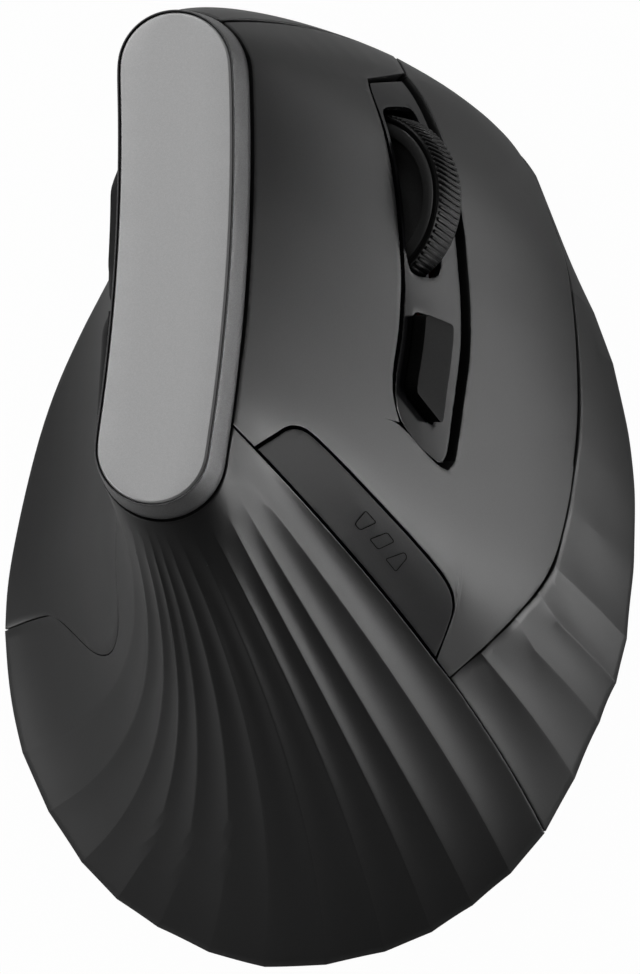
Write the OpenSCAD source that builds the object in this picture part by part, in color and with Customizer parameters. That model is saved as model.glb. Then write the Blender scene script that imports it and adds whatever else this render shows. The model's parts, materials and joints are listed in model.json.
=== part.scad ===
// Right-handed vertical mouse: a tilted button face with a wheel, a raised top plate,
// a fluted palm cover and a scooped thumb side, all standing on a flat base.
// Frame: +Y points to the front of the mouse, +X to its right, +Z up.
// The origin lies on the desk, under the middle of the body.

/* [Body] */
// Overall length of the body, front to rear
body_length = 118; // [114:0.5:124]
// Overall width of the body at the desk
body_width = 79; // [76:0.5:83]
// Height of the top plate's middle above the desk
body_height = 65; // [63:0.5:68]
// Wall of the outer covers
wall = 2; // [1.6:0.1:2.2]
// Open seam between two fixed covers
seam = 0.3; // [0.2:0.05:0.4]
// Open gap round every part that is pressed
key_gap = 0.5; // [0.4:0.05:0.7]
// Depth of the flutes in the palm cover and the skirt
flute_depth = 0.5; // [0.3:0.05:0.7]

/* [Top plate] */
// Length of the rim that the top bezel stands on
rim_length = 61; // [59:0.5:62]
// Width of that rim
rim_width = 15.6; // [15:0.2:16.4]
// Sideways bow of the rim's middle line
rim_bow = 2; // [1:0.1:2.6]
// How far the plate leans towards the thumb
plate_roll = 13; // [10:0.5:15]
// How far the plate falls towards the front
plate_pitch = 10; // [8:0.5:12]
// Height of the bezel wall that carries the plate
bezel_height = 5; // [4.5:0.1:5.5]

/* [Wheel] */
// Diameter of the wheel over its tyre
wheel_diameter = 21.6; // [20:0.2:22.4]
// Width of the tyre
wheel_width = 5.2; // [4.8:0.1:5.8]
// How far the tyre stands out of the button face
wheel_rise = 3.8; // [3:0.1:4.4]
// Diameter of the wheel's axle
axle_diameter = 3; // [2.5:0.1:3.5]

/* [Keys] */
// How far the front thumb button stands out of the thumb side
forward_rise = 1.8; // [1.4:0.1:2.2]
// How far the rear thumb button stands out of the thumb side
back_rise = 2.3; // [1.6:0.1:2.6]
// How far the speed key stands out of the button face
speed_key_rise = 1.2; // [0.8:0.1:1.4]

/* [Base] */
// Thickness of the base plate
base_thick = 1.6; // [1.4:0.1:1.8]
// Height of the sliding feet under the base
foot_height = 0.7; // [0.5:0.1:0.9]

/* [Hidden] */
$fn = 48;

// Middle of the rim in plan
rim_x = -16;
rim_y = (body_length - rim_length) / 2 - 1.05;

// Guide ribs of the body, clockwise from the front seen from above. Each one is a cubic curve
// that leaves the rim, follows its two handles and ends at its foot near the desk:
// [place on the rim, handle under the rim, handle above the desk, foot]
ribs = [
    [3.44, [-16.5, 59.5, 38], [-10, 56.5, 14.5], [-6, 50.5]],
    [3.62, [-7, 59, 38], [7.5, 56, 11.5], [13, 48.5]],
    [3.81, [0, 52.5, 45], [18, 52, 9.5], [25.5, 41]],
    [4.03, [4, 44, 46.5], [28.5, 36.5, 14], [30.8, 29]],
    [4.23, [6.5, 33, 47.5], [26.3, 24, 19.2], [36.5, 16]],
    [4.42, [7, 21.5, 47], [28, 10, 18], [39.4, -0.5]],
    [4.64, [6, 9, 48], [27.4, -7, 18], [38.4, -19]],
    [4.81, [4.5, 0, 49], [24.5, -16.5, 19], [35, -29.4]],
    [4.92, [2.3, -5.6, 49], [19, -25, 17.5], [28.1, -43.3]],
    [5.08, [-4.5, -11, 52.5], [11, -34.5, 20.5], [19.1, -52.3]],
    [5.30, [-8, -14.5, 54.5], [4, -38, 22], [8.1, -58.1]],
    [5.48, [-11, -16.5, 53.5], [-4, -41, 22], [-6.9, -60]],
    [5.57, [-15, -16, 54], [-11.5, -38.5, 22], [-20.3, -55]],
    [5.65, [-18, -15, 54], [-15.5, -34, 22.5], [-29.8, -46.9]],
    [5.78, [-20.5, -12, 50], [-20.5, -28, 19], [-37.2, -33.2]],
    [6.00, [-21, -4, 42], [-27, -13, 13], [-39.4, -17]],
    [6.09, [-21, 4, 40], [-26, -2, 12], [-37.4, -3]],
    [6.25, [-21.5, 13, 38], [-25, 11, 12], [-33.7, 11]],
    [6.44, [-22, 23, 38], [-23.5, 22, 14], [-28, 23]],
    [6.68, [-22, 33.5, 38], [-22, 32, 15], [-23.8, 31]],
    [6.93, [-22.8, 45, 37], [-22, 41.5, 15], [-22.5, 38.5]],
    [7.25, [-22, 55.5, 36], [-19.5, 50.5, 14], [-18.5, 46.5]],
];
rib_count = len(ribs);

// Stretch and shift of the rib points, which are written for the nominal body
stretch = [body_width / 79, body_length / 118, body_height / 65];
shift = [0, 0.95, 0];

function lerp(a, b, f) = a + (b - a) * f;
function unit(v) = v / norm(v);
function smooth(f) = let (c = min(1, max(0, f))) c * c * (3 - 2 * c);

// Value between b and c of a smooth curve through a, b, c and d
function through(a, b, c, d, f) =
    b + f / 2 * ((c - a) + f * ((2 * a - 5 * b + 4 * c - d) + f * (3 * (b - c) + d - a)));

// Smooth value at x of a list of values that stand one step apart
function along(values, x) =
    let (n = len(values), i = min(n - 2, max(0, floor(x))))
    through(values[max(0, i - 1)], values[i], values[i + 1], values[min(n - 1, i + 2)], x - i);

// Smooth line through a list of places, with the given steps between two neighbours
function line(places, steps) =
    [for (k = [0:(len(places) - 1) * steps]) along(places, k / steps)];

// Frame with its origin at o, its Z along up and its Y as near as possible to ahead
function placed(o, ahead, up) =
    let (z = unit(up), y = unit(ahead - (ahead * z) * z), x = cross(y, z))
    [[x[0], y[0], z[0], o[0]], [x[1], y[1], z[1], o[1]], [x[2], y[2], z[2], o[2]], [0, 0, 0, 1]];

// Point of a frame in the world, and point of the world in a frame
function world(m, p) = [for (k = [0:2]) m[k][0] * p[0] + m[k][1] * p[1] + m[k][2] * p[2] + m[k][3]];
function local(m, p) =
    [for (k = [0:2]) m[0][k] * (p[0] - m[0][3]) + m[1][k] * (p[1] - m[1][3]) + m[2][k] * (p[2] - m[2][3])];

// Direction square to the top plate, and height of the rim's plane over a plan point
plate_up = unit([-tan(plate_roll), tan(plate_pitch), 1]);
function rim_z(p) = body_height - bezel_height * plate_up[2]
    + (p[0] - rim_x) * tan(plate_roll) - (p[1] - rim_y) * tan(plate_pitch);

// Middle line of the rim, bowed towards the right
function rim_middle(y) =
    [rim_x - rim_bow * pow((y - rim_y - 0.22 * rim_length) / (rim_length / 2), 2), y];

// Plan point on a pill round the rim's middle line. The place runs 0 to 1 down the right side,
// to 2 round the rear, to 3 up the left side and to 4 round the front.
function pill(place, width) =
    let (p = place - 4 * floor(place / 4), r = width / 2, run = (rim_length - rim_width) / 2)
    p < 1 ? rim_middle(lerp(rim_y + run, rim_y - run, p)) + [r, 0]
    : p < 2 ? rim_middle(rim_y - run) + r * [cos(180 * (p - 1)), -sin(180 * (p - 1))]
    : p < 3 ? rim_middle(lerp(rim_y - run, rim_y + run, p - 2)) - [r, 0]
    : rim_middle(rim_y + run) + r * [-cos(180 * (p - 3)), sin(180 * (p - 3))];

// The same point in space, lifted square to the plate from the rim's plane
function pill_point(place, width, lift) =
    let (p = pill(place, width)) [p[0], p[1], rim_z(p)] + lift * plate_up;

// Place on the rim, handles and foot of one rib, stretched to the body's size
function rib(i) = let (turn = floor(i / rib_count), r = ribs[i - turn * rib_count])
    [r[0] + 4 * turn,
     [for (k = [0:2]) (r[1][k] + shift[k]) * stretch[k]],
     [for (k = [0:2]) (r[2][k] + shift[k]) * stretch[k]],
     [r[3][0] * stretch[0], (r[3][1] + shift[1]) * stretch[1], foot_height]];

// Point of the body's skin at a place: rib position p[0], share p[1] of the way down the rib
function skin(p) =
    let (i = floor(p[0]), f = p[0] - i, a = rib(i - 1), b = rib(i), c = rib(i + 1), d = rib(i + 2),
         v = p[1], w = 1 - v,
         top = pill_point(through(a[0], b[0], c[0], d[0], f), rim_width, 0),
         high = through(a[1], b[1], c[1], d[1], f),
         low = through(a[2], b[2], c[2], d[2], f),
         foot = through(a[3], b[3], c[3], d[3], f))
    w * w * w * top + 3 * w * w * v * high + 3 * w * v * v * low + v * v * v * foot;

// Outward normal of the skin, and the same laid flat towards the desk
nudge = 0.002;
function out(p) =
    unit(cross(skin([p[0] + nudge, p[1]]) - skin([p[0] - nudge, p[1]]),
               skin([p[0], min(1, p[1] + nudge)]) - skin([p[0], max(0, p[1] - nudge)])));
function out_flat(p) =
    let (n = out(p)) unit([n[0], n[1], n[2] * (1 - smooth((p[1] - 0.84) / 0.16))]);

// Depth of the flutes, two to a rib from the skirt round to the thumb. They fade out at the rim,
// are shallow where the skirt meets the face and end in nearly straight chords at the desk.
first_flute = 4.5;
last_flute = 14;
flute_seam = 0.3;
flute_foot = 0.36;
function flute(p) =
    let (w = 2 * p[0] - floor(2 * p[0]),
         high = p[0] < palm_seam ? lerp(flute_seam, 1, smooth((p[1] - edge_at(p[0])[1]) / 0.06))
             : smooth((p[1] - 0.03) / 0.35),
         low = lerp(1, flute_foot, smooth((p[1] - 0.6) / 0.4)))
    p[0] > last_flute ? 0
    : 4 * w * (1 - w) * flute_depth * high * low * smooth((p[0] - first_flute) / 1.5);

// Share of the step from a to b that leaves a gap of the given width beside a
function gap_share(a, b, gap) = gap / 100 / norm(skin(lerp(a, b, 0.01)) - skin(a));

// Places from a to b in the given shares, with a gap left open at either end
function across(a, b, shares, gap_a, gap_b) =
    let (from = gap_share(a, b, gap_a), to = 1 - gap_share(b, a, gap_b))
    [for (s = shares) lerp(a, b, lerp(from, to, s))];

// Rows of places between two lines, with gaps beside the lines and beyond the end rows
function rows_between(a, b, shares, gap_a, gap_b, gap_first, gap_last) =
    let (n = len(a) - 1,
         first = gap_share(a[0], a[1], gap_first), last = gap_share(a[n], a[n - 1], gap_last),
         first_b = gap_share(b[0], b[1], gap_first), last_b = gap_share(b[n], b[n - 1], gap_last))
    [for (i = [0:n])
        let (p = i == 0 ? lerp(a[0], a[1], first) : i == n ? lerp(a[n], a[n - 1], last) : a[i],
             q = i == 0 ? lerp(b[0], b[1], first_b) : i == n ? lerp(b[n], b[n - 1], last_b) : b[i])
        across(p, q, shares, gap_a, gap_b)];

function steps(n) = [for (k = [0:n]) k / n];

// Solid between two grids of points; each hole lists the cells left out: [row, row, column, column]
module slab(outer, inner, holes = []) {
    rows = len(outer);
    cols = len(outer[0]);
    under = rows * cols;
    turned = cross(outer[1][0] - outer[0][0], outer[0][1] - outer[0][0]) * (outer[0][0] - inner[0][0]) < 0;
    function at(i, j) = i * cols + j;
    function full(i, j) = i >= 0 && j >= 0 && i < rows - 1 && j < cols - 1
        && len([for (h = holes) if (i >= h[0] && i < h[1] && j >= h[2] && j < h[3]) 1]) == 0;
    function side(a, b) = [[a, b, b + under], [a, b + under, a + under]];
    cells = [for (i = [0:rows - 2], j = [0:cols - 2]) if (full(i, j)) [i, j]];
    faces = [for (c = cells)
        let (i = c[0], j = c[1], a = at(i, j), b = at(i + 1, j), c = at(i + 1, j + 1), d = at(i, j + 1))
        each [[a, c, b], [a, d, c], [a + under, b + under, c + under], [a + under, c + under, d + under],
              if (!full(i, j - 1)) each side(a, b), if (!full(i + 1, j)) each side(b, c),
              if (!full(i, j + 1)) each side(c, d), if (!full(i - 1, j)) each side(d, a)]];
    used = [for (row = outer) each row, for (row = inner) each row];
    polyhedron(used, [for (f = faces) turned ? [f[0], f[2], f[1]] : f], 10);
}

// Cover over a grid of places on the skin
module cover(places, thick, fluted = false, holes = []) {
    slab([for (row = places) [for (p = row) skin(p) - (fluted ? flute(p) * out_flat(p) : [0, 0, 0])]],
         [for (row = places) [for (p = row) skin(p) - thick * out_flat(p)]], holes);
}

// Key over a grid of places: its rim stands at edge above the skin, its middle at crown,
// and it rises between them over the given number of rows
module key(places, edge, crown, thick, rise_rows) {
    n = len(places) - 1;
    m = len(places[0]) - 1;
    function lift(i, j) =
        j == 0 || j == m ? edge : lerp(edge, crown, sin(90 * min(1, i / rise_rows, (n - i) / rise_rows)));
    slab([for (i = [0:n]) [for (j = [0:m]) skin(places[i][j]) + lift(i, j) * out(places[i][j])]],
         [for (i = [0:n]) [for (j = [0:m]) skin(places[i][j]) - thick * out(places[i][j])]]);
}

// Closed rings joined in turn, the first and the last one capped across from side to side
facet_length = 3;
ring_size = 2 * ceil((rim_length - rim_width + PI * rim_width / 2) / facet_length);
module loft(rings) {
    count = len(rings);
    half = ring_size / 2;
    nose = floor(ring_size * 7 / 8);
    function at(r, k) = r * ring_size + (k + 2 * ring_size) % ring_size;
    function cap(r) = [for (m = [0:half - 1]) each [
        if (m > 0) [at(r, nose + m), at(r, nose + m + 1), at(r, nose - m)],
        if (m < half - 1) [at(r, nose + m + 1), at(r, nose - m - 1), at(r, nose - m)]]];
    walls = [for (r = [0:count - 2], k = [0:ring_size - 1]) each [
        [at(r, k), at(r + 1, k + 1), at(r + 1, k)], [at(r, k), at(r, k + 1), at(r + 1, k + 1)]]];
    ends = [for (f = cap(0)) [f[0], f[2], f[1]], each cap(count - 1)];
    polyhedron([for (ring = rings) each ring], [each walls, each ends], 10);
}
function ring(width, lift) = [for (k = [0:ring_size - 1]) pill_point(4 * k / ring_size, width, lift)];

// Rounded plate: length along Y, width along X, resting on Z = 0
module tablet(width, length, thick, corner) linear_extrude(thick) {
    square([width - 2 * corner, length], center = true);
    square([width, length - 2 * corner], center = true);
    for (x = [-1, 1], y = [-1, 1])
        translate([x * (width / 2 - corner), y * (length / 2 - corner)]) circle(corner);
}
module block(width, length, height) translate([-width / 2, -length / 2, 0]) cube([width, length, height]);

// Seams on the skin
palm_seam = 8;
front_seam = 1.3;
split_left = [[front_seam, 0.678], [1.68, 0.593], [1.97, 0.55]];
split_right = [[front_seam, 0.684], [1.68, 0.597], [1.97, 0.552]];
corner_seam = 20.7;
slot_left = line([[2.27, 0.386], [2.46, 0.368], [2.8, 0.359], [3.15, 0.358], [3.54, 0.366], [3.91, 0.373],
    [4.47, 0.371], [4.79, 0.364], [5.05, 0.36], [5.29, 0.354], [5.52, 0.35], [5.85, 0.37], [5.98, 0.468]], 2);
slot_right = line([[2.02, 0.542], [2.21, 0.543], [2.53, 0.531], [2.9, 0.52], [3.37, 0.525], [3.71, 0.539],
    [4.18, 0.542], [4.67, 0.531], [5.06, 0.519], [5.42, 0.507], [5.78, 0.5], [5.85, 0.496], [5.94, 0.487]], 2);
slot_end = len(slot_left) - 1;
slot_corner = slot_end - 2;
face_edge = [0.885, 0.9, 0.915, 0.925, 0.917, 0.886,
    0.864, 0.835, 0.808, 0.783, 0.758, 0.725, 0.696, 0.665, 0.64];
function edge_at(u) = [u, along(face_edge, 2 * (u - 1))];
thumb_edge = [15, 15, 15, 14.95, 14.8, 14.36, 14.22, 14.42, 14.85, 14.93, 14.93];
function thumb_at(v) = along(thumb_edge, 10 * v);

// Ends of the two bending lines where the buttons leave the bridge
left_bend = [6.6, 0];
right_bend = edge_at(5.2);

// Front and rear line of the bridge between the buttons and the palm
left_steps = steps(9);
right_steps = steps(12);
bridge_front = [for (s = left_steps) lerp(left_bend, slot_left[slot_corner], s),
    slot_left[slot_end - 1], slot_left[slot_end],
    for (s = right_steps) lerp(slot_right[slot_end], right_bend, s)];
key_line = [[7.02, 0.131], [6.85, 0.157], [6.79, 0.188], [6.89, 0.29], [6.98, 0.38], [7.03, 0.44], [7.08, 0.49],
    [7.13, 0.535], [7.22, 0.566], [7.37, 0.58]];
key_end = [8, 0.07];
key_ease = [0, 0.002];
bridge_rear = [[8, 0], for (s = [0, 0.35, 0.7, 1]) lerp(key_end, key_line[0], s) - key_ease,
    for (i = [1:len(key_line) - 1]) key_line[i], [7.63, 0.588], [8, 0.6],
    for (u = [8, 7.6, 7.2, 6.8, 6.4, 6.05, 5.75, 5.55, 5.38]) edge_at(u)];
key_rear = [for (v = [key_end[1], 0.1, 0.14, 0.25, 0.35, 0.42, 0.48, 0.535, 0.573, 0.599]) [8, v]];

// Frame of the wheel and the switches under the button face, standing on the skin
key_place = [3.455, 0.442];
key_frame = placed(skin(key_place), [-0.05, 1, -0.15], out(key_place));
axle_z = wheel_rise - wheel_diameter / 2;
board_top = -12;
board_thick = 1.6;
carrier_thick = 2;
carrier_z = board_top - board_thick - carrier_thick;

// Places pressed over each switch, in that frame
left_press = local(key_frame, skin([3.5, 0.26]));
right_press = local(key_frame, skin([3.5, 0.64]));
speed_press = local(key_frame, skin([5.3, 0.425]));

// Sprung micro switch and flat press switch, standing on Z = 0 with the tip on top
switch_height = 6.5;
switch_tip = 0.7;
module micro_switch() {
    block(5.8, 12.8, switch_height);
    translate([0, 2, 0]) block(2.8, 1.2, switch_height + switch_tip);
}
module press_switch(size, height) {
    block(size, size, height - 0.6);
    cylinder(d = size / 2, h = height);
}

// Plunger under a pressed place, reaching down to just above a tip
plunger_gap = 0.35;
module plunger(press, tip_z) translate([press[0], press[1], tip_z + plunger_gap])
    cylinder(d = 3, h = press[2] - wall / 2 - tip_z - plunger_gap);
micro_tip = board_top + switch_height + switch_tip;

// Top plate and bezel
module top_plate() color("#a2a4a6")
    loft([ring(rim_width - 2.3, bezel_height - 1.3), ring(rim_width - 2.3, bezel_height - 0.25),
          ring(rim_width - 2.8, bezel_height)]);

module top_bezel() color("#3a3c3e")
    loft([ring(rim_width - 4.4, bezel_height - 3), ring(rim_width - 3.2, 0.1), ring(rim_width - 0.1, 0.1),
          ring(rim_width - 1.4, bezel_height - 0.4), ring(rim_width - 1.7, bezel_height),
          ring(rim_width - 2, bezel_height), ring(rim_width - 2, bezel_height - 1.3)]);

// Button face
module left_button() color("#2b2b2c") {
    edge = [each split_left, for (i = [0:slot_corner]) slot_left[i]];
    reach = left_bend[0] - slot_left[slot_corner][0];
    span = slot_left[slot_corner][0] - front_seam;
    rim_line = [for (p = edge) [p[0] + reach * (p[0] - front_seam) / span, 0]];
    cover(rows_between(rim_line, edge, left_steps, key_gap, key_gap / 2, 1.2 * key_gap, key_gap / 3), wall);
    multmatrix(key_frame) plunger(left_press, micro_tip);
}

module right_button() color("#2b2b2c") {
    edge = [each split_right, each slot_right];
    reach = right_bend[0] - slot_right[slot_end][0];
    span = slot_right[slot_end][0] - front_seam;
    low_line = [for (p = edge) edge_at(p[0] + reach * (p[0] - front_seam) / span)];
    cover(rows_between(edge, low_line, right_steps, key_gap / 2, 0.8 * key_gap, 1.4 * key_gap, key_gap / 3),
          wall);
    multmatrix(key_frame) plunger(right_press, micro_tip);
}

module button_bridge() color("#2b2b2c")
    cover(rows_between(bridge_front, bridge_rear, steps(8), key_gap / 3, seam / 2, seam, seam / 2), wall);

// Device key under the bridge, pressed along its own frame
device_place = [7.42, 0.36];
device_frame = placed(skin(device_place), [0, 1, 0], out(device_place));
device_tip = -3.6;
device_board_top = -7;
key_shrink = key_gap / 25;
function inset(places) = [for (p = places) [p[0], lerp(p[1], device_place[1], key_shrink)]];
module device_key() color("#1b1b1c") {
    cover(rows_between(inset(key_line), inset(key_rear), steps(4), 0.6 * key_gap, key_gap / 2, 0, 0), wall);
    multmatrix(device_frame) translate([0, 0, device_tip + 0.6]) cylinder(d = 3, h = 2.2);
}

// Glossy tray in the slot, open for the wheel and for the speed key
speed_first = 14;
speed_last = 20;
speed_shares = [0.15, 0.72];
wheel_first = 3;
wheel_last = 12;
wheel_side = wheel_width / 2 + 0.7;
tray_lip = 0.6;
tray_depth = 0.5;
tray_floor = 1.3;
tray_gap = 2.4 * key_gap;
// Shares where the openings' two edges cross a row of the tray
function tray_cut(i) =
    let (a = local(key_frame, skin(slot_left[i]))[0] + tray_gap,
         b = local(key_frame, skin(slot_right[i]))[0] - tray_gap)
    i > wheel_last ? speed_shares : [tray_lip / (b - a), (wheel_side - a) / (b - a)];
function tray_shares(i) = let (c = tray_cut(i))
    [0, c[0] / 2, c[0], (c[0] + c[1]) / 2, c[1], (c[1] + 1) / 2, 1];
function tray_end(side, i) =
    i == 0 ? lerp(side[0], side[1], gap_share(side[0], side[1], key_gap))
    : i == slot_end ? lerp(side[i], side[i - 1], gap_share(side[i], side[i - 1], tray_gap))
    : side[i];
tray_rows = [for (i = [0:slot_end])
    across(tray_end(slot_left, i), tray_end(slot_right, i), tray_shares(i), tray_gap, tray_gap)];
module wheel_insert() color("#0c0c0d") {
    slab([for (row = tray_rows) [for (p = row) skin(p) - tray_depth * out(p)]],
         [for (row = tray_rows) [for (p = row) skin(p) - tray_floor * out(p)]],
         [[wheel_first, wheel_last, 2, 4], [speed_first, speed_last, 2, 4]]);
    multmatrix(key_frame) for (p = tray_legs) translate([p[0], p[1], board_top])
        cylinder(d = 2.4, h = p[2] - board_top - (tray_depth + tray_floor) / 2);
}
tray_legs = [for (p = [[5.74, 0.41], [5.81, 0.46]]) local(key_frame, skin(p))];

// Wheel: ribbed tyre, hub with its axle, sprung yoke and the encoder carried on it
hub_diameter = wheel_diameter - 2;
module across_axle() multmatrix(key_frame) translate([0, 0, axle_z]) rotate([0, 90, 0]) children();
module wheel_tyre() color("#161617") across_axle() rotate_extrude()
    polygon([[hub_diameter / 2 + 0.02, -wheel_width / 2 + 0.4], [wheel_diameter / 2 - 0.5, -wheel_width / 2],
             [wheel_diameter / 2, -wheel_width / 2 + 0.6], [wheel_diameter / 2, wheel_width / 2 - 0.6],
             [wheel_diameter / 2 - 0.5, wheel_width / 2], [hub_diameter / 2 + 0.02, wheel_width / 2 - 0.4]]);

yoke_inside = wheel_width / 2 + 1;
yoke_wall = 2;
module wheel_hub() color("#202021") across_axle() {
    rotate_extrude()
        polygon([[axle_diameter / 2 - 0.5, -1.2], [hub_diameter / 2 - 1.6, -1.2],
                 [hub_diameter / 2 - 1.6, -wheel_width / 2], [hub_diameter / 2, -wheel_width / 2],
                 [hub_diameter / 2, wheel_width / 2], [hub_diameter / 2 - 1.6, wheel_width / 2],
                 [hub_diameter / 2 - 1.6, 1.2], [axle_diameter / 2 - 0.5, 1.2]]);
    cylinder(d = axle_diameter, h = 2 * (yoke_inside + yoke_wall) - 0.4, center = true);
    cylinder(d = axle_diameter + 2, h = 2 * yoke_inside - 0.4, center = true);
}

yoke_length = wheel_diameter + 5;
yoke_high = axle_z + 2.6;
yoke_low = axle_z - 2.2;
guide_pin = 2.2;
guides = [[yoke_inside + yoke_wall + 2.2, 8.5], [-yoke_inside - yoke_wall - 2.2, -8.5]];
wheel_tip = yoke_low - 0.7;
module wheel_yoke() color("#4a4a4c") multmatrix(key_frame) difference() {
    union() {
        translate([0, 0, yoke_low]) difference() {
            translate([0, -1.5, 0]) block(2 * (yoke_inside + yoke_wall), yoke_length - 3, yoke_high - yoke_low);
            translate([0, 2, -1]) block(2 * yoke_inside, wheel_diameter + 5.6, 10);
            translate([0, 16, yoke_high - yoke_low - 2.2]) block(20, 20, 10);
        }
        for (g = guides) translate([g[0], g[1], yoke_low]) block(5.4, 5, 2.4);
        translate([0, -yoke_length / 2 - 1, yoke_low]) block(4.4, 4, 1.6);
    }
    translate([0, 0, axle_z]) rotate([0, 90, 0]) cylinder(d = axle_diameter + 0.1, h = 40, center = true);
    for (g = guides) translate([g[0], g[1], yoke_low - 1]) cylinder(d = guide_pin + 0.1, h = 10);
}

module wheel_encoder() color("#2f6b4f") multmatrix(key_frame)
    translate([-yoke_inside - yoke_wall - 1.6, 0, axle_z - 3.4]) block(3.2, 8, 6);

module wheel_switch() color("#b9b9b9") multmatrix(key_frame)
    translate([0, -yoke_length / 2 - 0.9, board_top]) press_switch(3.8, wheel_tip - board_top);

// Speed key behind the wheel
function tray_line(column) = [for (i = [speed_first:speed_last]) tray_rows[i][column]];
speed_rows = rows_between(tray_line(2), tray_line(4), [0, 0.15, 0.5, 0.85, 1],
                          key_gap, key_gap, key_gap, key_gap);
speed_tip = board_top + 3.6;
module speed_key() color("#1a1a1b") {
    key(speed_rows, speed_key_rise, speed_key_rise, tray_floor + 0.4, 1);
    multmatrix(key_frame) translate([speed_press[0], speed_press[1], speed_tip + 0.8])
        cylinder(d = 3, h = speed_press[2] - tray_floor - 0.8 - speed_tip);
}
module speed_switch() color("#b9b9b9") multmatrix(key_frame)
    translate([speed_press[0], speed_press[1], board_top]) press_switch(5, speed_tip - board_top);

module left_switch() color("#8e2f2b") multmatrix(key_frame)
    translate([left_press[0], left_press[1] - 2, board_top]) micro_switch();
module right_switch() color("#8e2f2b") multmatrix(key_frame)
    translate([right_press[0], right_press[1] - 2, board_top]) micro_switch();

// Board under the button face and the carrier that lifts it off the base
board_front = wheel_diameter / 2 + 2;
board_rear = -28;
board_left = left_press[0] - 4;
board_right = right_press[0] + 4;
module board_outline() difference() {
    polygon([[board_left, board_rear], [board_right, board_rear], [board_right, 2], [7, board_front],
             [board_left, board_front]]);
    square([wheel_width + 1.6, wheel_diameter + 0.6], center = true);
}
module key_board() color("#1f4d33") multmatrix(key_frame) translate([0, 0, board_top - board_thick])
    linear_extrude(board_thick) difference() {
        board_outline();
        for (g = guides) translate([g[0], g[1]]) circle(d = guide_pin + 0.6);
    }

base_top = foot_height + base_thick;
carrier_points = [[10, 3], [11, -24], [-15, -12]];
carrier_posts = [for (p = carrier_points) world(key_frame, [p[0], p[1], carrier_z])];
post_diameter = 6;
screw_diameter = 2;
module key_carrier() color("#5a5b5d") difference() {
    union() {
        multmatrix(key_frame) translate([0, 0, carrier_z]) linear_extrude(carrier_thick) board_outline();
        multmatrix(key_frame) for (g = guides) translate([g[0], g[1], carrier_z])
            cylinder(d = guide_pin, h = yoke_low + 3 - carrier_z);
        intersection() {
            for (p = carrier_posts) translate([p[0], p[1], base_top]) cylinder(d = post_diameter, h = 60);
            multmatrix(key_frame) translate([0, 0, carrier_z - 119]) block(160, 160, 120);
        }
    }
    for (p = carrier_posts) translate([p[0], p[1], base_top - 1]) cylinder(d = screw_diameter + 0.1, h = 7);
}

// Device key's switch, its board and the post under it
module device_switch() color("#b9b9b9") multmatrix(device_frame) translate([0, 0, device_board_top])
    press_switch(6, device_tip - device_board_top);
module device_board() color("#1f4d33") multmatrix(device_frame)
    translate([0, 0, device_board_top - 1.6]) block(12, 16, 1.6);
device_foot = world(device_frame, [0, 0, device_board_top - 1.6]);
module device_post() color("#5a5b5d") difference() {
    intersection() {
        translate([device_foot[0], device_foot[1], base_top]) cylinder(d = post_diameter, h = 60);
        multmatrix(device_frame) translate([0, 0, device_board_top - 1.6 - 120]) block(160, 160, 120);
    }
    translate([device_foot[0], device_foot[1], base_top - 1]) cylinder(d = screw_diameter + 0.1, h = 7);
}

// Palm cover, skirt, thumb panel and front cover, cut at the same shares down the ribs
rim_gap = seam;
open_top = 0.07;
open_low = 0.21;
drops = [0.035, open_top, 0.14, open_low, 0.28, 0.35, 0.42, 0.46, 0.5, 0.55, 0.6, 0.65, 0.7, 0.76, 0.82,
    0.88, 0.94, 1];
function drops_at(u) = [gap_share([u, 0], [u, 1], rim_gap), each drops];
flute_steps = 4;
palm_flutes = 2 * (last_flute - palm_seam);
palm_last = palm_flutes * flute_steps;
function thumb_side(v, way) = let (u = thumb_at(v)) u + way * gap_share([u, v], [u + way, v], 0.7 * seam);
palm_rows = [for (k = [0:palm_last + 3]) [for (v = drops_at(9))
    [k == 0 ? palm_seam + gap_share([palm_seam, v], [palm_seam + 1, v], seam / 2)
     : k <= palm_last ? palm_seam + k / flute_steps / 2
     : lerp(last_flute, thumb_side(v, -1), (k - palm_last) / 3), v]]];
module palm_cover() color("#1f1f20") cover(palm_rows, wall, true);

skirt_us = [for (k = [0:6]) lerp(front_seam, first_flute, k / 7),
    for (u = [first_flute:0.5 / flute_steps:palm_seam - 0.1]) u, palm_seam];
module side_panel() color("#1f1f20")
    cover(rows_between([for (u = skirt_us) edge_at(u)], [for (u = skirt_us) [u, 1]], steps(4),
                       seam, 0, seam / 2, seam / 2), wall, true);

// Opening that the two thumb buttons share: first and last row of each one's part of it
back_open = [16.1, 17.75];
forward_open = [17.78, 19.42];
thumb_us = [for (k = [0:3]) lerp(back_open[0], back_open[1], k / 3),
    for (k = [0:3]) lerp(forward_open[0], forward_open[1], k / 3), 19.8, 20.25];
module thumb_panel() color("#1f1f20") {
    vs = drops_at(9);
    cover([for (k = [0:3]) [for (v = vs) [lerp(thumb_side(v, 1), back_open[0], k / 4), v]],
           for (u = thumb_us) [for (v = vs) [u, v]],
           [for (v = vs) [corner_seam - gap_share([corner_seam, v], [corner_seam - 1, v], seam / 2), v]]],
          wall, false, [[4, 11, 2, 4]]);
}

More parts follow.
